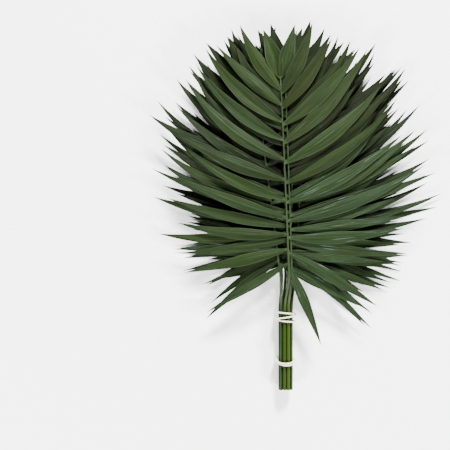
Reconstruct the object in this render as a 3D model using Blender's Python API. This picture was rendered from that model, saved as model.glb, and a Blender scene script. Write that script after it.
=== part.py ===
"""A tied bunch of sixteen cut palm fronds, lying on a flat surface.

Each frond is one grown piece: a round stalk that runs on as the midrib, with pairs of
long pointed leaflets along its upper half. The stalks are packed round one another and
held by two wound elastic ties. Above the ties they fan out, and the leafy parts lie on
each other like pages, the lowest one flat on the surface.

The stalks run along +Y, the leaf tips at the +Y end, and +Z is up. The bunch is drawn with
the lower tie at y = 0, and at the end all of it is moved over the origin, which is on the
surface below the middle of the bunch.
"""

import math
import random

import bmesh
import bpy
from mathutils import Matrix, Vector

# Stalks, where they are bundled
STALK_DIAMETER = 0.0052
STALK_GAP = 0.0003
INNER_RING_STALKS = 5
OUTER_RING_STALKS = 10
OUTER_RING_IN_PITCHES = 1.905
BUNDLE_TURN_DEG = -5.0
CUT_END_Y = -0.053
CUT_END_SPREAD = 0.003

# Ties
LOWER_TIE_Y = 0.0
UPPER_TIE_Y = 0.078
ELASTIC_DIAMETER = 0.0026
ELASTIC_PILE = 0.0017
PRESSED_FLAT = 0.0003
TIE_STEPS_PER_TURN = 16
LOWER_TIE_TURNS = 2
UPPER_TIE_TURNS = 3
LOWER_TIE_HALF_WIDTH = 0.0017
UPPER_TIE_HALF_WIDTH = 0.0085
LOWER_TIE_LEAN = 0.33

# Where the stalks leave the bundle, and where they lie in their layers
BUNDLE_TOP_Y = 0.092
LAYERED_Y = 0.150
SPREAD_ACROSS = 1.15
SPREAD_SHIFT = 0.0045
FAN_DEG = 4.5
# The three topmost fronds, which are seen whole: how far each is moved across, and its lean
TOP_FRONDS = {15: (0.0025, -2.6), 14: (0.0, -2.0), 13: (-0.006, -7.5)}

# The stack of layers
BOTTOM_LAYER_Z = 0.0020
LAYER_PITCH = 0.0038
PITCH_PEAK_Y = 0.400
PITCH_LOSS_ALONG = 0.0128
PITCH_LOSS_ACROSS = 0.0150
FLAT_LEAFLET_Z = 0.0005

# One frond
LEAFY_START_Y = 0.174
LEAFY_START_SCATTER = 0.034
LEAFY_LENGTH = 0.300
MIDRIB_RADIUS_LOW = 0.0019
MIDRIB_RADIUS_TIP = 0.0009
STALK_SIDES = 7
LEAFLET_PAIRS = 12
PAIR_OFFSET = 0.006
BLADE_THICKNESS = 0.0010

# Leaflets along the frond, from its tip (0) to its lowest pair (1)
LEAFLET_LENGTH = ((0, 0.115), (0.1, 0.158), (0.2, 0.192), (0.32, 0.23), (0.5, 0.27), (0.75, 0.274), (1, 0.2))
LEFT_LENGTH_SHARE = 0.92
LEAFLET_WIDTH = ((0, 0.029), (0.12, 0.024), (0.5, 0.025), (0.85, 0.021), (1, 0.017))
LEAFLET_ANGLE_DEG = ((0, 22), (0.1, 44), (0.28, 62), (0.55, 73), (0.8, 86), (1, 106))
LEAFLET_BEND_DEG = ((0, 3), (0.12, 20), (0.35, 32), (0.65, 28), (0.85, 10), (1, -6))
FROND_SCATTER_DEG = 4.0
ANGLE_SCATTER_DEG = ((0, 4), (0.8, 6), (1, 14))
LOWER_FRONDS_SCATTER = 1.3
BEND_SCATTER_DEG = 9.0
# Share of the law's length that each leaflet gets: the topmost fronds' from a low to a high share evenly,
# the lower fronds' mostly short, so that only some of their tips reach the rim of the bunch
TOP_LENGTH_SHARES = (0.88, 1.06)
LOWER_LENGTH_SHARES = (0.75, 1.08)
# The lowest pairs hang lower on the right than on the left
RIGHT_HANGS_DEG = ((0, 0), (0.8, 0), (1, 5))
# How the lowest leaflets of the topmost frond stand: (pair from the tip, side) to (angle, share of the length)
TOPMOST_LEAFLETS = {
    (11, 1): (157, 0.8),
    (11, -1): (119, 0.97),
    (10, 1): (121, 1.0),
    (10, -1): (102, 0.95),
    (9, 1): (96, 1.0),
    (9, -1): (91, 0.95),
}
LEAFLET_STATIONS = (0.0, 0.125, 0.4, 0.725)
WIDEST_AT = 0.42
ROOT_WIDTH_SHARE = 0.2


def between(knots, at):
    """The value at a place along a list of (place, value) pairs, straight between them."""
    for (low, value), (high, next_value) in zip(knots, knots[1:]):
        if at <= high:
            return value + (next_value - value) * (at - low) / (high - low)
    return knots[-1][1]


def eased(share):
    """0 to 1, level at both ends."""
    share = min(max(share, 0.0), 1.0)
    return share * share * (3 - 2 * share)


def bundle_places():
    """Each stalk's (x, z) from the bundle's middle, lowest first: one stalk, then two rings."""
    pitch = STALK_DIAMETER + STALK_GAP
    turn = math.radians(90 + BUNDLE_TURN_DEG)
    places = [(0.0, 0.0)]
    for index in range(INNER_RING_STALKS):
        angle = turn + index * math.tau / INNER_RING_STALKS
        places.append((pitch * math.cos(angle), pitch * math.sin(angle)))
    outer = pitch * OUTER_RING_IN_PITCHES
    for index in range(OUTER_RING_STALKS):
        angle = turn + (index + 0.5) * math.tau / OUTER_RING_STALKS
        places.append((outer * math.cos(angle), outer * math.sin(angle)))
    return sorted(places, key=lambda place: place[1])


BUNDLE = bundle_places()
BUNDLE_RADIUS = max(math.hypot(*place) for place in BUNDLE) + STALK_DIAMETER / 2
TIE_MIDDLE_RADIUS = (BUNDLE_RADIUS + STALK_GAP + ELASTIC_DIAMETER / 2) / math.cos(math.pi / TIE_STEPS_PER_TURN)
BUNDLE_Z = TIE_MIDDLE_RADIUS + 1.5 * ELASTIC_PILE + ELASTIC_DIAMETER / 2 - PRESSED_FLAT


def layer_height(rank, x, y):
    """How high a frond's layer lies: the layers are closer together towards the rim of the fan."""
    pitch = LAYER_PITCH - PITCH_LOSS_ALONG * (y - PITCH_PEAK_Y) ** 2 - PITCH_LOSS_ACROSS * x * x
    return BOTTOM_LAYER_Z + rank * pitch


class Frond:
    """One frond's own shape: where its stalk runs, and how each of its leaflets differs a little."""

    def __init__(self, rank):
        self.rank = rank
        self.draw = random.Random(500 + rank)
        self.bundle_x, self.bundle_z = BUNDLE[rank]
        self.size = self.draw.uniform(0.9, 1.03)
        topmost = rank == len(BUNDLE) - 1
        self.leafy_start = LEAFY_START_Y + self.draw.uniform(0.0, LEAFY_START_SCATTER) * (not topmost)
        self.leafy_end = LEAFY_START_Y + LEAFY_LENGTH * self.draw.uniform(0.97, 1.1)
        self.turned = self.draw.uniform(-FROND_SCATTER_DEG, FROND_SCATTER_DEG)
        side = self.bundle_x / (BUNDLE_RADIUS - STALK_DIAMETER / 2)
        lean = FAN_DEG * side + self.draw.uniform(-0.6, 1.6)
        self.shift, lean = TOP_FRONDS.get(rank, (0.0, lean))
        self.lean = math.tan(math.radians(lean))
        self.cut_end = CUT_END_Y + self.draw.uniform(0, CUT_END_SPREAD)

    def midrib(self, y):
        """The middle of the stalk and midrib at a place along the bunch."""
        fanned = eased((y - BUNDLE_TOP_Y) / (LAYERED_Y - BUNDLE_TOP_Y))
        fan_x = SPREAD_ACROSS * self.bundle_x + SPREAD_SHIFT + self.shift + self.lean * max(y - LAYERED_Y, 0.0)
        x = self.bundle_x + (fan_x - self.bundle_x) * fanned
        bundle_z = BUNDLE_Z + self.bundle_z
        return Vector((x, y, bundle_z + (layer_height(self.rank, x, y) - bundle_z) * fanned))

    def radius(self, y):
        """The stalk keeps its thickness in the bundle and then thins towards the frond's tip."""
        above = (y - BUNDLE_TOP_Y) / (LAYERED_Y - BUNDLE_TOP_Y)
        if above <= 1:
            return STALK_DIAMETER / 2 + (MIDRIB_RADIUS_LOW - STALK_DIAMETER / 2) * eased(above)
        along = (y - LAYERED_Y) / (self.leafy_end - LAYERED_Y)
        return MIDRIB_RADIUS_LOW + (MIDRIB_RADIUS_TIP - MIDRIB_RADIUS_LOW) * along

    def leaflets(self):
        """(root, side, pair) of each leaflet, the end pair first."""
        for pair in range(LEAFLET_PAIRS):
            place = pair / (LEAFLET_PAIRS - 1)
            down = place - 0.03 * math.sin(math.tau * place)
            for side in (-1, 1):
                shift = PAIR_OFFSET * side * min(pair, 1) * 0.5
                y = self.leafy_end - 0.002 - down * (self.leafy_end - self.leafy_start) - shift
                yield self.midrib(y), side, pair


class Leaflet:
    """One blade: the line that its middle follows, its width along that line and its slant."""

    STEPS = 40

    def __init__(self, frond, root, side, pair):
        draw = frond.draw
        place = pair / (LEAFLET_PAIRS - 1)
        on_top = frond.rank in TOP_FRONDS
        low, high = TOP_LENGTH_SHARES if on_top else LOWER_LENGTH_SHARES
        share = low + (high - low) * draw.random() ** (1 if on_top else 2)
        self.length = between(LEAFLET_LENGTH, place) * frond.size * share
        if side == -1:
            self.length *= LEFT_LENGTH_SHARE
        self.width = between(LEAFLET_WIDTH, place) * draw.uniform(0.84, 1.06)
        self.slant = math.radians(draw.uniform(2.0, 6.0)) * (frond.rank > 0)
        self.side = side
        scatter = between(ANGLE_SCATTER_DEG, place) * (1 if on_top else LOWER_FRONDS_SCATTER)
        start = between(LEAFLET_ANGLE_DEG, place) + side * between(RIGHT_HANGS_DEG, place)
        start += frond.turned + draw.uniform(-scatter, scatter)
        if frond.rank == len(BUNDLE) - 1:
            start, share = TOPMOST_LEAFLETS.get((pair, side), (start, 1.0))
            self.length *= share
        bend = between(LEAFLET_BEND_DEG, place) + draw.uniform(-BEND_SCATTER_DEG, BEND_SCATTER_DEG)
        self.points = [root]
        self.headings = [math.radians(start)]
        for step in range(self.STEPS):
            heading = math.radians(start - bend * (step + 0.5) / self.STEPS)
            heading = heading + side * math.atan(frond.lean)
            forward = Vector((side * math.sin(heading), math.cos(heading), 0))
            point = self.points[-1] + forward * (self.length / self.STEPS)
            share = (step + 1) / self.STEPS
            point.z = self.height(frond, root, point, share)
            self.points.append(point)
            self.headings.append(heading)

    def height(self, frond, root, point, share):
        """The blade lies in its frond's layer, and the lowest frond's blades come down onto the surface."""
        if frond.rank > 0:
            return layer_height(frond.rank, point.x, point.y)
        return root.z + (FLAT_LEAFLET_Z - root.z) * eased(share / 0.1)

    def half_width(self, share):
        """Half the blade's width: narrow at the root, full by a third of its length, drawn out to a point."""
        if share < WIDEST_AT:
            rise = 1 - (1 - share / WIDEST_AT) ** 1.8
            full = ROOT_WIDTH_SHARE + (1 - ROOT_WIDTH_SHARE) * rise
        else:
            fall = (share - WIDEST_AT) / (1 - WIDEST_AT)
            full = 1 - fall**1.6
        return full * self.width / 2

    def section(self, share):
        """The blade's three corners at a place: its two edges, and the ridge between them on the upper face."""
        index = round(share * self.STEPS)
        middle, heading = self.points[index], self.headings[index]
        across = Vector((self.side * math.cos(heading), -math.sin(heading), 0))
        across = across * math.cos(self.slant) + Vector((0, 0, -math.sin(self.slant)))
        half = self.half_width(share)
        low = Vector((0, 0, -BLADE_THICKNESS / 2))
        return [middle - across * half + low, middle + across * half + low, middle - low]

    def solid(self):
        sections = [self.section(share) for share in LEAFLET_STATIONS]
        tip = self.points[-1] + Vector((0, 0, -BLADE_THICKNESS / 2))
        return lofted(sections, tip)


def lofted(sections, tip=None):
    """A closed mesh through sections of equal corner count: the first one extruded from place to place.
    It ends flat, or is drawn to a point at tip."""
    shape = bmesh.new()
    face = shape.faces.new([shape.verts.new(corner) for corner in sections[0]])
    corners = list(face.verts)
    start = face
    for section in sections[1:] + ([] if tip is None else [[tip] * len(sections[0])]):
        left = face
        made = bmesh.ops.extrude_face_region(shape, geom=[face])["geom"]
        face = next(part for part in made if isinstance(part, bmesh.types.BMFace))
        if left is not start:
            bmesh.ops.delete(shape, geom=[left], context="FACES_ONLY")
        moved = [min(face.verts, key=lambda vert: (vert.co - old.co).length) for old in corners]
        for corner, place in zip(moved, section):
            corner.co = place
        corners = moved
    if tip is not None:
        bmesh.ops.pointmerge(shape, verts=corners, merge_co=tip)
    bmesh.ops.recalc_face_normals(shape, faces=shape.faces)
    mesh = bpy.data.meshes.new("solid")
    shape.to_mesh(mesh)
    shape.free()
    return mesh


def material(name, colour, roughness):
    made = bpy.data.materials.new(name)
    made.use_nodes = True
    shader = made.node_tree.nodes["Principled BSDF"]
    shader.inputs["Base Color"].default_value = (*colour, 1)
    shader.inputs["Roughness"].default_value = roughness
    shader.inputs["Metallic"].default_value = 0
    return made


def placed(name, mesh, finish, collection):
    obj = bpy.data.objects.new(name, mesh)
    if finish is not None:
        mesh.materials.append(finish)
    collection.objects.link(obj)
    return obj


def applied(obj):
    """The object's mesh with its modifiers in it."""
    graph = bpy.context.evaluated_depsgraph_get()
    mesh = bpy.data.meshes.new_from_object(obj.evaluated_get(graph))
    obj.modifiers.clear()
    obj.data = mesh


def stalk(frond, finish, collection):
    """The stalk and midrib: a round section run through its places, closer together where it bends."""
    places = [frond.cut_end, BUNDLE_TOP_Y]
    places += [BUNDLE_TOP_Y + (LAYERED_Y - BUNDLE_TOP_Y) * share for share in (0.25, 0.5, 0.75, 1)]
    leafy = frond.leafy_end - LAYERED_Y
    places += [LAYERED_Y + leafy * share for share in (0.33, 0.67, 1)]
    sections = []
    for y in places:
        middle, radius = frond.midrib(y), frond.radius(y)
        turns = [math.tau * (side + 0.5) / STALK_SIDES for side in range(STALK_SIDES)]
        sections.append([middle + radius * Vector((math.cos(t), 0, math.sin(t))) for t in turns])
    return placed(f"frond_{frond.rank + 1:02d}", lofted(sections), finish, collection)


def build_frond(rank, finish):
    """One frond: its leaflets' roots are sunk in the midrib, and all of it is joined in one solid."""
    frond = Frond(rank)
    body = stalk(frond, finish, bpy.context.scene.collection)
    blades = bpy.data.collections.new("blades")
    bpy.context.scene.collection.children.link(blades)
    for root, side, pair in frond.leaflets():
        blade = Leaflet(frond, root, side, pair)
        placed("blade", blade.solid(), finish, blades)
    join = body.modifiers.new("join blades", "BOOLEAN")
    join.operation = "UNION"
    join.operand_type = "COLLECTION"
    join.collection = blades
    join.solver = "MANIFOLD"
    bpy.context.view_layer.update()
    applied(body)
    for blade in list(blades.objects):
        bpy.data.objects.remove(blade)
    bpy.data.collections.remove(blades)


def build_tie(name, y, turns, half_width, lean, finish):
    """An elastic loop wound round the bundle. Its strands cross by turning about their common middle, and where
    the loop meets the surface it is pressed flat."""
    steps = TIE_STEPS_PER_TURN * turns
    curve = bpy.data.curves.new(name, "CURVE")
    curve.dimensions = "3D"
    curve.bevel_depth = ELASTIC_DIAMETER / 2
    curve.bevel_resolution = 1
    spline = curve.splines.new("POLY")
    spline.points.add(steps - 1)
    spline.use_cyclic_u = True
    for step, point in enumerate(spline.points):
        round_bundle = math.tau * turns * step / steps
        twist = round_bundle / turns
        radius = TIE_MIDDLE_RADIUS + ELASTIC_PILE * (1 - math.cos(twist))
        down = radius * math.cos(round_bundle)
        along = y + half_width * math.sin(twist) + lean * down
        point.co = (radius * math.sin(round_bundle), along, BUNDLE_Z - down, 1)
    tie = placed(name, curve, finish, bpy.context.scene.collection)
    bpy.context.view_layer.update()
    mesh = bpy.data.meshes.new_from_object(tie)
    bpy.data.objects.remove(tie)
    for vert in mesh.vertices:
        vert.co.z = max(vert.co.z, 0.0)
    placed(name, mesh, None, bpy.context.scene.collection)


def move_over_origin():
    """Every piece is moved across the surface together, until the whole bunch's box is centred on the origin."""
    places = [vert.co for obj in bpy.data.objects for vert in obj.data.vertices]
    middle_x = (min(place.x for place in places) + max(place.x for place in places)) / 2
    middle_y = (min(place.y for place in places) + max(place.y for place in places)) / 2
    print("moved over the origin by", round(-middle_x, 6), round(-middle_y, 6))
    for obj in bpy.data.objects:
        obj.data.transform(Matrix.Translation((-middle_x, -middle_y, 0)))


def main():
    for obj in list(bpy.data.objects):
        bpy.data.objects.remove(obj)
    leaf = material("leaf", (0.055, 0.10, 0.035), 0.5)
    rubber = material("elastic", (0.78, 0.70, 0.50), 0.6)
    for rank in range(len(BUNDLE)):
        build_frond(rank, leaf)
    build_tie("tie_lower", LOWER_TIE_Y, LOWER_TIE_TURNS, LOWER_TIE_HALF_WIDTH, LOWER_TIE_LEAN, rubber)
    build_tie("tie_upper", UPPER_TIE_Y, UPPER_TIE_TURNS, UPPER_TIE_HALF_WIDTH, 0.0, rubber)
    move_over_origin()


main()
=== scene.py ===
import math
import random

import bmesh
import bpy
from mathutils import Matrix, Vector


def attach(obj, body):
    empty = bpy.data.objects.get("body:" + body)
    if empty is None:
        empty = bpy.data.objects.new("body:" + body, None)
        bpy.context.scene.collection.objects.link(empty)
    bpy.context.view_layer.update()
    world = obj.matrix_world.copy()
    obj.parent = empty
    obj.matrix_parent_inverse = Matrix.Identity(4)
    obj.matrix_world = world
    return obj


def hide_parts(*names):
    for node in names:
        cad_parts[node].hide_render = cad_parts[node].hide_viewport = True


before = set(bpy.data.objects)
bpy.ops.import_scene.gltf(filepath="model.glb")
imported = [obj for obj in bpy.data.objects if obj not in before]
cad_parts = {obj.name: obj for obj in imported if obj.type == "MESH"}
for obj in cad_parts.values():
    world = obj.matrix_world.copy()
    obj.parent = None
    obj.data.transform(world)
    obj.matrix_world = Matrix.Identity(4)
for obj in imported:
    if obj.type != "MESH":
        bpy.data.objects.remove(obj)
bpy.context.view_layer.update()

# The table top and the studio
# The bunch lies on a plain pale surface. A strong soft light stands beyond the leaf tips, a little to the
# right, and two weaker ones stand beside the cut ends. The camera hangs above and looks straight down.

TABLE_HALF_SIDE = 4.0
TABLE_COLOUR = (0.96, 0.96, 0.955, 1)
TABLE_ROUGHNESS = 0.7
ROOM_COLOUR = (1.0, 1.0, 1.0, 1)
ROOM_GLOW = 0.16
CAMERA_PLACE = (-0.1282, -0.0353, 1.64)
CAMERA_LENS = 72.5
CAMERA_SENSOR = 36.0


def made_into(name, shape, *finishes):
    """The piece that a finished bmesh becomes, with its finishes on it."""
    mesh = bpy.data.meshes.new(name)
    shape.to_mesh(mesh)
    shape.free()
    for finish in finishes:
        mesh.materials.append(finish)
    piece = bpy.data.objects.new(name, mesh)
    bpy.context.scene.collection.objects.link(piece)
    return piece


def soft_light(name, place, aim, side, watts):
    lamp = bpy.data.lights.new(name, "AREA")
    lamp.shape = "SQUARE"
    lamp.size = side
    lamp.energy = watts
    holder = bpy.data.objects.new(name, lamp)
    holder.location = place
    holder.rotation_euler = (Vector(aim) - Vector(place)).to_track_quat("-Z", "Y").to_euler()
    bpy.context.scene.collection.objects.link(holder)


pale_paint = bpy.data.materials.new("pale_paint")
pale_paint.use_nodes = True
paint_shader = pale_paint.node_tree.nodes["Principled BSDF"]
paint_shader.inputs["Base Color"].default_value = TABLE_COLOUR
paint_shader.inputs["Roughness"].default_value = TABLE_ROUGHNESS

table = bmesh.new()
bmesh.ops.create_grid(table, x_segments=1, y_segments=1, size=TABLE_HALF_SIDE)
table_top = made_into("table_top", table, pale_paint)

soft_light("key_light", place=(0.8, 3.5, 2.5), aim=(0, 0, 0), side=0.75, watts=1130)
soft_light("side_light", place=(-1.9, -1.7, 1.5), aim=(0, -0.05, 0), side=0.6, watts=230)
soft_light("fill_light", place=(2.0, -1.7, 1.6), aim=(0, -0.05, 0), side=0.6, watts=235)

room = bpy.data.worlds.new("studio")
room.use_nodes = True
room.node_tree.nodes["Background"].inputs["Color"].default_value = ROOM_COLOUR
room.node_tree.nodes["Background"].inputs["Strength"].default_value = ROOM_GLOW
bpy.context.scene.world = room

camera = bpy.data.objects.new("camera", bpy.data.cameras.new("camera"))
camera.location = CAMERA_PLACE
camera.data.sensor_width = CAMERA_SENSOR
camera.data.lens = CAMERA_LENS
bpy.context.scene.collection.objects.link(camera)
bpy.context.scene.camera = camera

# How the sixteen fronds lie
# Their stalks are packed in a middle one and two rings. Past the upper tie they fan out, and each frond
# lies in its own layer over the one below. All places are reckoned from the lower tie, then moved to the
# middle of the bunch's box.

MIDDLE = Vector((-0.019689, -0.277082, 0.0))
FROND_COUNT = 16
TOPMOST = 15
STALK_DIAMETER = 0.0052
STALK_PITCH = 0.0055
RINGS_TURNED = math.radians(85)
INNER_STALKS = 5
OUTER_STALKS = 10
OUTER_RING = STALK_PITCH * 1.905
ELASTIC_RADIUS = 0.0013
ELASTIC_PILE = 0.0017
TIE_CLEARANCE = 0.0003
TIE_SIDES = 16
PRESSED_FLAT = 0.0003

# Places along the bunch: the cut ends, the end of the bundle, where each frond lies in its own layer, and
# where the leaves begin, with how far they reach.
CUT_END = -0.053
BUNDLE_TOP = 0.092
LAYERED = 0.150
LEAFY_FROM = 0.174
LEAFY_LENGTH = 0.3

# The layers are thickest past the middle of the leaves, and thin out along and across the bunch.
LOWEST_LAYER = 0.002
LAYER_STEP = 0.0038
THICKEST_AT = 0.4
THINS_ALONG = 0.0128
THINS_ACROSS = 0.015

# How the fronds fan out, and the shift in metres and lean in degrees of the three topmost ones.
FAN_SPREAD = 1.15
FAN_SHIFT = 0.0045
FAN_LEAN = 4.5
SET_FRONDS = {15: (0.0025, -2.6), 14: (0.0, -2.0), 13: (-0.006, -7.5)}

# The midrib, and how its leaflets are spaced: closer at both ends, none at the very tip, sides staggered.
MIDRIB_RADIUS = 0.0019
MIDRIB_TAPER = 0.001
LEAFLET_PAIRS = 12
PAIRS_CROWD = 0.03
BARE_TIP = 0.002
PAIR_STAGGER = 0.003


def bundle_places():
    """Where each stalk lies in the bundle, across and up, from the lowest to the highest."""
    places = [(0.0, 0.0)]
    for count, radius, offset in ((INNER_STALKS, STALK_PITCH, 0), (OUTER_STALKS, OUTER_RING, 0.5)):
        for index in range(count):
            angle = RINGS_TURNED + (index + offset) * math.tau / count
            places.append((radius * math.cos(angle), radius * math.sin(angle)))
    return sorted(places, key=lambda place: place[1])


bundle = bundle_places()
bundle_radius = OUTER_RING + STALK_DIAMETER / 2
tie_radius = (bundle_radius + TIE_CLEARANCE + ELASTIC_RADIUS) / math.cos(math.pi / TIE_SIDES)
bundle_height = tie_radius + 1.5 * ELASTIC_PILE + ELASTIC_RADIUS - PRESSED_FLAT


def between(knots, at):
    """The value at a place on the line through pairs of place and value."""
    for (low, value), (high, next_value) in zip(knots, knots[1:]):
        if at <= high:
            return value + (next_value - value) * (at - low) / (high - low)
    return knots[-1][1]


def within(value):
    return min(max(value, 0), 1)


def eased(share):
    share = within(share)
    return share * share * (3 - 2 * share)


def layer_height(rank, x, y):
    return LOWEST_LAYER + rank * (LAYER_STEP - THINS_ALONG * (y - THICKEST_AT) ** 2 - THINS_ACROSS * x * x)


class Frond:
    """Where one frond's stalk and midrib run, and how big it is."""

    def __init__(self, rank):
        self.rank = rank
        self.draw = random.Random(500 + rank)
        self.across, self.up = bundle[rank]
        self.size = self.draw.uniform(0.9, 1.03)
        self.leafy_start = LEAFY_FROM + self.draw.uniform(0.0, 0.034) * (rank < TOPMOST)
        self.leafy_end = LEAFY_FROM + LEAFY_LENGTH * self.draw.uniform(0.97, 1.1)
        self.turned = self.draw.uniform(-4.0, 4.0)
        lean = FAN_LEAN * self.across / (bundle_radius - STALK_DIAMETER / 2) + self.draw.uniform(-0.6, 1.6)
        self.shift, lean = SET_FRONDS.get(rank, (0.0, lean))
        self.lean = math.tan(math.radians(lean))
        self.cut_end = CUT_END + self.draw.uniform(0, 0.003)

    def midrib(self, y):
        fanned = eased((y - BUNDLE_TOP) / (LAYERED - BUNDLE_TOP))
        fan_x = FAN_SPREAD * self.across + FAN_SHIFT + self.shift + self.lean * max(y - LAYERED, 0.0)
        x = self.across + (fan_x - self.across) * fanned
        height = bundle_height + self.up
        return Vector((x, y, height + (layer_height(self.rank, x, y) - height) * fanned))

    def radius(self, y):
        above = (y - BUNDLE_TOP) / (LAYERED - BUNDLE_TOP)
        if above <= 1:
            return STALK_DIAMETER / 2 + (MIDRIB_RADIUS - STALK_DIAMETER / 2) * eased(above)
        return MIDRIB_RADIUS - MIDRIB_TAPER * (y - LAYERED) / (self.leafy_end - LAYERED)

    def leaflet_roots(self):
        """Where each leaflet grows, with its side, -1 for left, and its pair, counted from the tip."""
        for pair in range(LEAFLET_PAIRS):
            place = pair / (LEAFLET_PAIRS - 1)
            down = place - PAIRS_CROWD * math.sin(math.tau * place)
            y = self.leafy_end - BARE_TIP - down * (self.leafy_end - self.leafy_start)
            for side in (-1, 1):
                yield self.midrib(y - PAIR_STAGGER * side * min(pair, 1)), side, pair


fronds = [Frond(rank) for rank in range(FROND_COUNT)]

# The leaf skin
# A palm leaflet has a smooth, waxy, dark green upper face with fine veins and fibres that run its whole
# length, a raised midrib, paler margins, a greyish bloom that also carries painted sheen, and a dry tip.
# Bluish-grey leaflets carry painted sheen too, and the bluest have a few painted silvery glints. Leaflets
# deep in the bunch get painted shade. The underside is paler and duller. No two leaflets match.

# Each side's deep, olive and bluish-grey green; the bluish grey is partly the leaf's own hue, partly
# painted sheen.
UPPER_GREENS = ((0.0042, 0.0106, 0.0015), (0.0168, 0.0282, 0.0044), (0.0118, 0.0234, 0.0118))
UNDER_GREENS = ((0.014, 0.025, 0.008), (0.026, 0.040, 0.012), (0.022, 0.036, 0.019))
# Partly the leaf's waxy bloom, partly painted sheen.
BLOOM_AND_SHEEN_GREEN = (0.0188, 0.0340, 0.0176)
MIDRIB_GREEN = (0.016, 0.027, 0.008)
MARGIN_GREEN = (0.036, 0.050, 0.025)
ROOT_GREEN = (0.030, 0.048, 0.016)
DRY_TIP = (0.014, 0.011, 0.004)
DRIED_BROWN = (0.0064, 0.0080, 0.0010)
# Painted shade, laid over leaflets that lie deep in the bunch.
PAINTED_SHADE_IN_BUNCH = (0.0021, 0.0022, 0.0006)
# Painted highlight: the colour of the painted glints.
PAINTED_GLINT_SILVER = (0.110, 0.140, 0.134)

# Marks drawn out along the blade: how fast each varies along it and across it, the noise at which it
# starts and is full, and its seed.
STREAKS = (1.6, 9.0, 0.42, 0.66, 0.0)
# The bloom marks are partly the waxy bloom, partly painted sheen.
BLOOM_AND_SHEEN = (2.4, 4.2, 0.46, 0.66, 3.0)
DUSK = (3.0, 3.0, 0.46, 0.66, 11.0)
FIBRES = (5.0, 42.0, 0.36, 0.64, 7.0)
# The glints are painted highlights.
PAINTED_GLINTS = (4.0, 9.0, 0.64, 0.70, 19.0)

VEIN_COUNT = 17
RIB_COUNT = 5
MARGIN_FROM = 0.455
BLUE_FROM = 0.3
LEAF_SHINE = 0.065
LEAF_RELIEF = 0.0003


def carried(skin, name):
    """A value that the piece's points carry."""
    node = skin.node_tree.nodes.new("ShaderNodeAttribute")
    node.attribute_name = name
    return node.outputs["Fac"]


def grain(skin, place, scale, detail):
    """Noise at a place; without one, at the place on the piece."""
    node = skin.node_tree.nodes.new("ShaderNodeTexNoise")
    node.inputs["Scale"].default_value = scale
    node.inputs["Detail"].default_value = detail
    if place is None:
        place = skin.node_tree.nodes.new("ShaderNodeTexCoord").outputs["Object"]
    skin.node_tree.links.new(place, node.inputs["Vector"])
    return node.outputs["Fac"]


def rising(skin, value, low, high):
    """A value turned into 0 up to low, 1 from high, and a share between them."""
    node = skin.node_tree.nodes.new("ShaderNodeMapRange")
    node.inputs["From Min"].default_value = low
    node.inputs["From Max"].default_value = high
    skin.node_tree.links.new(value, node.inputs["Value"])
    return node.outputs["Result"]


def blend(skin, share, under, over):
    """One colour laid over another by a share; each colour is a socket or three numbers."""
    node = skin.node_tree.nodes.new("ShaderNodeMix")
    node.data_type = "RGBA"
    skin.node_tree.links.new(share, node.inputs[0])
    for socket, colour in ((node.inputs[6], under), (node.inputs[7], over)):
        if isinstance(colour, tuple):
            socket.default_value = (*colour, 1)
        else:
            skin.node_tree.links.new(colour, socket)
    return node.outputs[2]


def raise_relief(skin, height, strength, distance):
    shader = skin.node_tree.nodes["Principled BSDF"]
    bump = skin.node_tree.nodes.new("ShaderNodeBump")
    bump.inputs["Strength"].default_value = strength
    bump.inputs["Distance"].default_value = distance
    skin.node_tree.links.new(height, bump.inputs["Height"])
    skin.node_tree.links.new(bump.outputs["Normal"], shader.inputs["Normal"])


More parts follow.
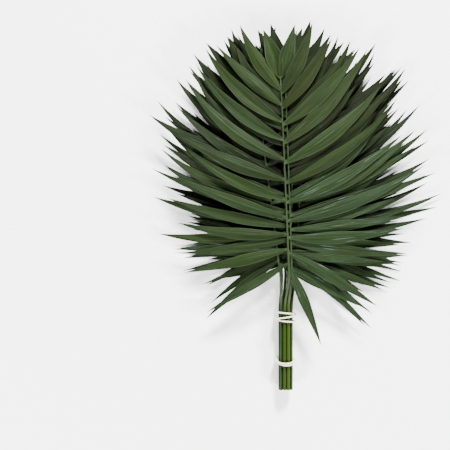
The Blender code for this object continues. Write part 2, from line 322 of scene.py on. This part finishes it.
def leaf_skin(name, greens, roughness, paints_glints):
    skin = bpy.data.materials.new(name)
    skin.use_nodes = True
    nodes, links = skin.node_tree.nodes, skin.node_tree.links
    shader = nodes["Principled BSDF"]
    deep, olive, grey = greens

    blade = nodes.new("ShaderNodeUVMap")
    blade.uv_map = "blade"
    parts = nodes.new("ShaderNodeSeparateXYZ")
    links.new(blade.outputs["UV"], parts.inputs["Vector"])
    along, across = parts.outputs["X"], parts.outputs["Y"]
    tone, tint_and_sheen, depth, dry = (carried(skin, value) for value in ("tone", "tint_and_sheen", "depth", "dry"))

    def maths(operation, *values):
        node = nodes.new("ShaderNodeMath")
        node.operation = operation
        for socket, value in zip(node.inputs, values):
            if isinstance(value, float):
                socket.default_value = value
            else:
                links.new(value, socket)
        return node.outputs[0]

    def patches(scale):
        return grain(skin, None, scale, 3.0)

    def drawn_out(lengthwise, crosswise, low, high, seed):
        where = nodes.new("ShaderNodeCombineXYZ")
        links.new(maths("ADD", maths("MULTIPLY", along, lengthwise), tone), where.inputs["X"])
        links.new(maths("MULTIPLY", across, crosswise), where.inputs["Y"])
        links.new(maths("ADD", maths("MULTIPLY", tint_and_sheen, 40.0), seed), where.inputs["Z"])
        return rising(skin, grain(skin, where.outputs["Vector"], 1.0, 3.0), low, high)

    off_middle = maths("ABSOLUTE", maths("SUBTRACT", across, 0.5))
    midrib = maths("SUBTRACT", 1.0, maths("SMOOTH_MIN", maths("MULTIPLY", off_middle, 22.0), 1.0, 0.2))
    margin = maths("GREATER_THAN", off_middle, MARGIN_FROM)
    veins = maths("SINE", maths("MULTIPLY", across, math.tau * VEIN_COUNT))
    ribs = maths("SINE", maths("MULTIPLY", across, math.tau * RIB_COUNT))
    root = maths("MAXIMUM", maths("SUBTRACT", 1.0, maths("MULTIPLY", along, 28.0)), 0.0)
    tip = maths("MAXIMUM", maths("SUBTRACT", maths("MULTIPLY", along, 14.0), 13.0), 0.0)
    dried = maths("MINIMUM", maths("MULTIPLY", dry, maths("MULTIPLY", patches(22.0), 2.0)), 1.0)

    # Each coat over the ones before it: where it lies, how strong it is there, and its colour.
    coats = [
        # Bluish-grey tint: partly the leaf's own hue, partly painted sheen.
        (tint_and_sheen, 0.8, grey),
        (patches(28.0), 0.25, olive),
        # Bloom: partly the waxy bloom, partly painted sheen.
        (drawn_out(*BLOOM_AND_SHEEN), 0.6, BLOOM_AND_SHEEN_GREEN),
        (drawn_out(*DUSK), 0.75, deep),
        (drawn_out(*STREAKS), 0.65, deep),
        (maths("ADD", veins, 1.0), 0.07, deep),
        (drawn_out(*FIBRES), 0.5, deep),
        (midrib, 0.35, MIDRIB_GREEN),
        (margin, 0.4, MARGIN_GREEN),
        (root, 0.8, ROOT_GREEN),
        (tip, 0.75, DRY_TIP),
        (dried, 1.0, DRIED_BROWN),
        # Painted shade on leaflets deep in the bunch.
        (depth, 1.0, PAINTED_SHADE_IN_BUNCH),
    ]
    # Painted highlights: silvery glints on the bluest leaflets.
    if paints_glints:
        bluest = maths("MAXIMUM", maths("SUBTRACT", tint_and_sheen, BLUE_FROM), 0.0)
        coats.append((maths("MULTIPLY", drawn_out(*PAINTED_GLINTS), bluest), 0.7, PAINTED_GLINT_SILVER))
    colour = blend(skin, tone, deep, olive)
    for where, strength, coat in coats:
        colour = blend(skin, maths("MULTIPLY", where, strength), colour, coat)
    links.new(colour, shader.inputs["Base Color"])

    links.new(maths("ADD", maths("MULTIPLY", patches(60.0), 0.22), roughness), shader.inputs["Roughness"])
    shader.inputs["Specular IOR Level"].default_value = LEAF_SHINE

    relief = maths("ADD", maths("MULTIPLY", veins, 0.25), maths("MULTIPLY", ribs, 0.9))
    relief = maths("ADD", relief, maths("MULTIPLY", midrib, 1.6))
    relief = maths("ADD", relief, maths("MULTIPLY", patches(90.0), 0.8))
    raise_relief(skin, relief, 0.5, LEAF_RELIEF)
    return skin


upper_skin = leaf_skin("leaf_upper", UPPER_GREENS, roughness=0.50, paints_glints=True)
under_skin = leaf_skin("leaf_under", UNDER_GREENS, roughness=0.62, paints_glints=False)

# The leaflets
# Long pointed blades in pairs along each midrib. Each starts as a flat strip, which is bent along its
# course, narrowed to its outline, folded a little along its middle and given the thickness of a leaf.

# Each table runs from the leaflets at the frond's tip, at 0, to the lowest ones, at 1. Angles are degrees.
LEAFLET_LENGTH = (
    (0, 0.115),
    (0.1, 0.158),
    (0.2, 0.192),
    (0.32, 0.23),
    (0.5, 0.27),
    (0.75, 0.274),
    (1, 0.2),
)
LEAFLET_WIDTH = ((0, 0.029), (0.12, 0.024), (0.5, 0.025), (0.85, 0.021), (1, 0.017))
LEAFLET_ANGLE = ((0, 22), (0.1, 44), (0.28, 62), (0.55, 73), (0.8, 86), (1, 106))
LEAFLET_BEND = ((0, 3), (0.12, 20), (0.35, 32), (0.65, 28), (0.85, 10), (1, -6))
ANGLE_SCATTER = ((0, 4), (0.8, 6), (1, 14))
RIGHT_HANGS = ((0, 0), (0.8, 0), (1, 5))

# The topmost frond's lowest leaflets, by pair and side: the angle and the share of the length.
TOPMOST_LEAFLETS = {
    (11, 1): (157, 0.8),
    (11, -1): (119, 0.97),
    (10, 1): (121, 1.0),
    (10, -1): (102, 0.95),
    (9, 1): (96, 1.0),
    (9, -1): (91, 0.95),
}
IN_SIGHT_FROM = 13
LEFT_LENGTH = 0.92
HIDDEN_SCATTER = 1.3
BEND_SCATTER = 9.0
COURSE_STEPS = 40

# The outline: its width at the root, where it is widest, how long it narrows, and how both parts curve.
ROOT_WIDTH = 0.2
WIDEST_AT = 0.42
NARROWS_OVER = 0.58
SWELL_CURVE = 1.8
NARROWING_CURVE = 1.25

LOWEST_HEIGHT = 0.0005
LOWEST_FLAT_BY = 0.1
LEAST_HEIGHT = 0.001
STRIP_CELLS = 20
STRIP_CELLS_ACROSS = 8
LEAF_THICKNESS = 0.00045

# Painted shade on the fronds in sight, by their depth in the bunch; pairs are counted from the frond's tip.
FROND_SHADE = {15: 0.05, 14: 0.4, 13: 0.55}
TIP_PAIRS_TO = 3
LOW_PAIRS_FROM = 7
DRIEST_PAIRS = (2, 3, 4)


class Leaflet:
    """The course, width and slant of one blade."""

    def __init__(self, frond, root, side, pair):
        draw = frond.draw
        place = pair / (LEAFLET_PAIRS - 1)
        self.frond, self.side = frond, side
        in_sight = frond.rank >= IN_SIGHT_FROM
        share = 0.88 + 0.18 * draw.random() if in_sight else 0.75 + 0.33 * draw.random() ** 2
        self.length = between(LEAFLET_LENGTH, place) * frond.size * share
        self.length *= LEFT_LENGTH if side == -1 else 1.0
        self.width = between(LEAFLET_WIDTH, place) * draw.uniform(0.84, 1.06)
        self.slant = math.radians(draw.uniform(2.0, 6.0)) * (frond.rank > 0)
        scatter = between(ANGLE_SCATTER, place) * (1 if in_sight else HIDDEN_SCATTER)
        start = between(LEAFLET_ANGLE, place) + side * between(RIGHT_HANGS, place)
        start += frond.turned + draw.uniform(-scatter, scatter)
        if frond.rank == TOPMOST:
            start, share = TOPMOST_LEAFLETS.get((pair, side), (start, 1.0))
            self.length *= share
        bend = between(LEAFLET_BEND, place) + draw.uniform(-BEND_SCATTER, BEND_SCATTER)
        self.course = [root]
        self.headings = []
        for step in range(COURSE_STEPS):
            turned = start - bend * (step + 0.5) / COURSE_STEPS
            heading = math.radians(turned) + side * math.atan(frond.lean)
            self.headings.append(heading)
            forward = Vector((side * math.sin(heading), math.cos(heading), 0))
            self.course.append(self.course[-1] + forward * (self.length / COURSE_STEPS))
        self.headings.append(self.headings[-1])

    def spot(self, along, out, form):
        """The point of the blade at a share of its length, and from -1 to 1 across it."""
        step = min(int(along * COURSE_STEPS), COURSE_STEPS - 1)
        part = along * COURSE_STEPS - step
        middle = self.course[step].lerp(self.course[step + 1], part)
        heading = self.headings[step] + (self.headings[step + 1] - self.headings[step]) * part
        if self.frond.rank > 0:
            middle.z = layer_height(self.frond.rank, middle.x, middle.y)
        else:
            root_z = self.course[0].z
            middle.z = root_z + (LOWEST_HEIGHT - root_z) * eased(along / LOWEST_FLAT_BY)
        if along < WIDEST_AT:
            full = ROOT_WIDTH + (1 - ROOT_WIDTH) * (1 - (1 - along / WIDEST_AT) ** SWELL_CURVE)
        else:
            full = 1 - ((along - WIDEST_AT) / NARROWS_OVER) ** NARROWING_CURVE
        half = full * self.width / 2
        across = Vector((self.side * math.cos(heading), -math.sin(heading), 0))
        slant = self.slant + form["twist"] * along**1.5
        across = across * math.cos(slant) + Vector((0, 0, -math.sin(slant)))
        fold = form["fold"] * half * (0.5 - abs(out)) * (1.3 - along)
        ripple = form["ripple"] * math.sin(along * form["waves"] + form["phase"] + out) * along
        lift = form["lift"] * math.sin(math.pi * min(along, 0.95)) ** 1.3
        point = middle + across * (half * out) + Vector((0, 0, fold + ripple + lift))
        if self.frond.rank > 0:
            point.z = max(point.z, LEAST_HEIGHT)
        return point


def draw_form(vary, rank):
    """How a blade folds, ripples, twists and lifts: not at all on the lowest frond, most on the topmost."""
    form = {
        "fold": vary.uniform(-0.16, 0.32) if rank else 0.0,
        "ripple": vary.uniform(0.0001, 0.0006) * (rank > 0),
        "twist": vary.uniform(-0.1, 0.1) * (rank > 0),
        "waves": vary.uniform(7, 13),
        "phase": vary.uniform(0, 6),
        "lift": (0.0005 + 0.0006 * vary.random()) * (rank > 0),
    }
    if rank == TOPMOST:
        form["lift"] = vary.uniform(0.002, 0.007)
        form["fold"] = vary.choice((-1, 1, 1)) * vary.uniform(0.14, 0.44)
        form["twist"] = vary.uniform(-0.5, 0.35)
    return form


def draw_look(vary, frond_look, side, pair):
    """How olive, bluish and dry a blade is, how much painted sheen goes with its bluish tint, and how much
    painted shade it gets, each from 0 to 1.
    """
    tone = within(frond_look["tone"] + vary.uniform(-0.4, 0.4))
    tint_and_sheen = within(frond_look["tint_and_sheen"] + vary.uniform(-0.3, 0.45))
    depth = within(frond_look["depth"] + vary.uniform(-0.15, 0.15))
    if side == 1 and pair in DRIEST_PAIRS:
        dry = vary.uniform(0.2, 0.8)
    else:
        dry = vary.uniform(-1.2, 0.6)
    # Painted shade is raised on the upper pairs and cut on the low pairs, most on the right, where the low
    # pairs also get more bluish tint with its painted sheen; the pairs at the tip get less tint.
    if pair < LOW_PAIRS_FROM:
        dry *= 0.75
        depth *= 1.2
    else:
        dry *= 0.3
        depth *= 0.1 if side == 1 else 0.5
        tint_and_sheen += 0.45 if side == 1 else 0.0
    if pair <= TIP_PAIRS_TO:
        tint_and_sheen -= 0.25
    return {"tone": tone, "tint_and_sheen": within(tint_and_sheen), "depth": within(depth), "dry": within(dry)}


def lay_leaflet(shape, leaflet, form, look):
    """One strip, laid along its leaflet, with its look on its points."""
    blade_map = shape.loops.layers.uv["blade"]
    layers = shape.verts.layers.float
    strip = bmesh.ops.create_grid(shape, x_segments=STRIP_CELLS, y_segments=STRIP_CELLS_ACROSS, size=1)
    flat = {vert: ((vert.co.x + 1) / 2, vert.co.y) for vert in strip["verts"]}
    faces = {face for vert in flat for face in vert.link_faces}
    for face in faces:
        for loop in face.loops:
            along, out = flat[loop.vert]
            loop[blade_map].uv = (along, (out + 1) / 2)
        face.smooth = True
    for vert, (along, out) in flat.items():
        vert.co = leaflet.spot(along, out, form) + MIDDLE
        for name in ("tone", "tint_and_sheen", "dry"):
            vert[layers[name]] = look[name]
        # Painted shade is strongest at the leaflet's root and fades toward its tip.
        vert[layers["depth"]] = look["depth"] * (1.2 - 0.8 * along)
    for edge in {edge for vert in flat for edge in vert.link_edges}:
        on_midrib = all(abs(flat[vert][1]) < 0.01 for vert in edge.verts)
        edge.smooth = not (edge.is_boundary or on_midrib)
    if leaflet.side == 1:
        bmesh.ops.reverse_faces(shape, faces=list(faces))
    tips = [vert for vert, (along, out) in flat.items() if along > 0.999]
    bmesh.ops.pointmerge(shape, verts=tips, merge_co=tips[len(tips) // 2].co)


def build_leaflets(frond):
    shape = bmesh.new()
    shape.loops.layers.uv.new("blade")
    for name in ("tone", "tint_and_sheen", "depth", "dry"):
        shape.verts.layers.float.new(name)
    vary = random.Random(900 + frond.rank)
    # Per frond: painted shade by its depth in the bunch, olive tone, and a bluish tint that also paints
    # sheen.
    frond_look = {
        "depth": FROND_SHADE.get(frond.rank, vary.uniform(0.65, 0.95)),
        "tone": vary.uniform(0.25, 0.75),
        "tint_and_sheen": vary.uniform(0.0, 0.5),
    }
    for root, side, pair in frond.leaflet_roots():
        leaflet = Leaflet(frond, root, side, pair)
        form = draw_form(vary, frond.rank)
        look = draw_look(vary, frond_look, side, pair)
        lay_leaflet(shape, leaflet, form, look)
    leaflets = made_into(f"leaflets_{frond.rank + 1:02d}", shape, upper_skin, under_skin)
    body = leaflets.modifiers.new("leaf thickness", "SOLIDIFY")
    body.thickness = LEAF_THICKNESS
    body.offset = 0.0
    body.material_offset = 1
    body.material_offset_rim = 0
    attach(leaflets, "root")
    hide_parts(f"frond_{frond.rank + 1:02d}")


for frond in fronds:
    build_leaflets(frond)

# The stalks
# Round green stalks that run on as the midribs, brighter where they are bundled and grey-green among the
# leaflets. In the bundle they carry painted light: stalks near its middle are painted lit, the outer ones
# painted shade. Each is a ring of points drawn along its course, and its lower end is cut square.

# Shaded and lit copies of the stalk green, for painted light, then streaks and the grey-green among the
# leaves.
SHADED_STALK = (0.0060, 0.017, 0.0020)
PAINTED_LIT_STALK = (0.053, 0.069, 0.0068)
STREAKED_STALK = (0.009, 0.024, 0.0018)
AMONG_LEAVES = (0.018, 0.030, 0.012)
GREYS_FROM = -0.20
GREY_AT = -0.08
STALK_STREAKS = (900, 14, 900)
STALK_SIDES = 12
STALK_STOPS = (0, 0.01, 0.25, 0.5, 0.75)
FAN_STOPS = 10
MIDRIB_STOPS = 14
CUT_RIM = 0.0005
CUT_SUNK = 0.0003
OUTERMOST_STALK = 0.0085


def stalk_skin():
    skin = bpy.data.materials.new("stalk_skin")
    skin.use_nodes = True
    nodes, links = skin.node_tree.nodes, skin.node_tree.links
    shader = nodes["Principled BSDF"]
    where = nodes.new("ShaderNodeTexCoord")
    parts = nodes.new("ShaderNodeSeparateXYZ")
    links.new(where.outputs["Object"], parts.inputs["Vector"])
    upward = rising(skin, parts.outputs["Y"], GREYS_FROM, GREY_AT)
    stretched = nodes.new("ShaderNodeMapping")
    stretched.inputs["Scale"].default_value = STALK_STREAKS
    links.new(where.outputs["Object"], stretched.inputs["Vector"])
    streaks = grain(skin, stretched.outputs["Vector"], 1.0, 5.0)
    # Painted light: each stalk's tone picks between its shaded and its lit copy of the stalk green.
    colour = blend(skin, carried(skin, "tone"), SHADED_STALK, PAINTED_LIT_STALK)
    colour = blend(skin, streaks, colour, STREAKED_STALK)
    colour = blend(skin, upward, colour, AMONG_LEAVES)
    links.new(colour, shader.inputs["Base Color"])
    shader.inputs["Roughness"].default_value = 0.36
    shader.inputs["Specular IOR Level"].default_value = 0.1
    raise_relief(skin, streaks, 0.5, 0.0002)
    return skin


def plain_finish(name, colour, roughness, fineness):
    """One colour, mottled a little darker, with a fine grain."""
    finish = bpy.data.materials.new(name)
    finish.use_nodes = True
    nodes, links = finish.node_tree.nodes, finish.node_tree.links
    shader = nodes["Principled BSDF"]
    mottle = grain(finish, None, fineness, 4.0)
    ramp = nodes.new("ShaderNodeValToRGB")
    darker, full = ramp.color_ramp.elements
    darker.position = 0.3
    darker.color = (*[part * 0.72 for part in colour], 1)
    full.position = 0.7
    full.color = (*colour, 1)
    links.new(mottle, ramp.inputs["Fac"])
    links.new(ramp.outputs["Color"], shader.inputs["Base Color"])
    shader.inputs["Roughness"].default_value = roughness
    raise_relief(finish, mottle, 0.4, 0.0002)
    return finish


stalk_green = stalk_skin()
cut_pith = plain_finish("cut_pith", (0.30, 0.34, 0.14), roughness=0.75, fineness=900)


def drawn_tube(shape, rings):
    """A closed tube through rings of points: its first ring, extruded from ring to ring."""
    face = shape.faces.new([shape.verts.new(point) for point in rings[0]])
    first, corners = face, list(face.verts)
    for ring in rings[1:]:
        left = face
        made = bmesh.ops.extrude_face_region(shape, geom=[face])["geom"]
        face = next(part for part in made if isinstance(part, bmesh.types.BMFace))
        if left is not first:
            bmesh.ops.delete(shape, geom=[left], context="FACES_ONLY")
        moved = [min(face.verts, key=lambda vert: (vert.co - old.co).length) for old in corners]
        for vert, point in zip(moved, ring):
            vert.co = point
        corners = moved
    return first, face


def build_stalk(frond):
    shape = bmesh.new()
    tone = shape.verts.layers.float.new("tone")
    stops = [frond.cut_end + (BUNDLE_TOP - frond.cut_end) * share for share in STALK_STOPS]
    stops += [BUNDLE_TOP + (LAYERED - BUNDLE_TOP) * stop / FAN_STOPS for stop in range(FAN_STOPS)]
    leafy = frond.leafy_end - LAYERED
    stops += [LAYERED + leafy * stop / MIDRIB_STOPS for stop in range(MIDRIB_STOPS + 1)]
    turns = [math.tau * side / STALK_SIDES for side in range(STALK_SIDES)]
    rings = []
    for y in stops:
        middle, radius = frond.midrib(y) + MIDDLE, frond.radius(y)
        rings.append([middle + radius * Vector((math.cos(turn), 0, math.sin(turn))) for turn in turns])
    cut = drawn_tube(shape, rings)[0]
    bmesh.ops.recalc_face_normals(shape, faces=shape.faces)
    for face in shape.faces:
        face.smooth = face is not cut
    bmesh.ops.inset_individual(shape, faces=[cut], thickness=CUT_RIM, depth=-CUT_SUNK)
    cut.material_index = 1
    vary = random.Random(70 + frond.rank)
    # Painted light: stalks nearer the middle of the bundle are painted lit, the outer ones painted shade,
    # with some random tone.
    painted_light_share = within(1 - abs(frond.across) / OUTERMOST_STALK + vary.uniform(-0.5, 0.3)) ** 1.5
    for vert in shape.verts:
        vert[tone] = painted_light_share
    stalk = made_into(f"stalk_{frond.rank + 1:02d}", shape, stalk_green, cut_pith)
    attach(stalk, "root")
    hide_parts(f"frond_{frond.rank + 1:02d}")


for frond in fronds:
    build_stalk(frond)

# The two elastic ties
# Cream rubber loops, one wound twice near the cut ends and one wound three times below the leaves, where
# its middle strand crosses over the other two. Each is one tube drawn round the bundle and closed.

STEPS_PER_TURN = 40
ELASTIC_SIDES = 10

elastic_rubber = plain_finish("elastic_rubber", (0.80, 0.74, 0.56), roughness=0.55, fineness=500)


def build_tie(name, y, turns, half_width, lean):
    shape = bmesh.new()
    steps = STEPS_PER_TURN * turns
    course = []
    for step in range(steps + 1):
        turn = math.tau * turns * step / steps
        twist = turn / turns
        radius = tie_radius + ELASTIC_PILE * (1 - math.cos(twist))
        along = y + half_width * math.sin(twist) + lean * radius * math.cos(turn)
        course.append(Vector((radius * math.sin(turn), along, bundle_height - radius * math.cos(turn))))
    rings = []
    for step in range(steps):
        ahead = (course[step + 1] - course[step - 1 if step else steps - 1]).normalized()
        out = (course[step] - Vector((0, course[step].y, bundle_height))).normalized()
        out = (out - ahead * out.dot(ahead)).normalized()
        beside = ahead.cross(out)
        ring = []
        for corner in range(ELASTIC_SIDES):
            angle = math.tau * corner / ELASTIC_SIDES
            point = course[step] + (out * math.cos(angle) + beside * math.sin(angle)) * ELASTIC_RADIUS
            point.z = max(point.z, 0.0)
            ring.append(point + MIDDLE)
        rings.append(ring)
    start, end = drawn_tube(shape, rings)
    bmesh.ops.bridge_loops(shape, edges=list(start.edges) + list(end.edges))
    bmesh.ops.delete(shape, geom=[start, end], context="FACES_ONLY")
    bmesh.ops.recalc_face_normals(shape, faces=shape.faces)
    for face in shape.faces:
        face.smooth = True
    elastic = made_into(name.replace("tie", "elastic"), shape, elastic_rubber)
    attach(elastic, "root")
    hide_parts(name)


build_tie("tie_lower", y=0.0, turns=2, half_width=0.0017, lean=0.33)
build_tie("tie_upper", y=0.078, turns=3, half_width=0.0085, lean=0.0)
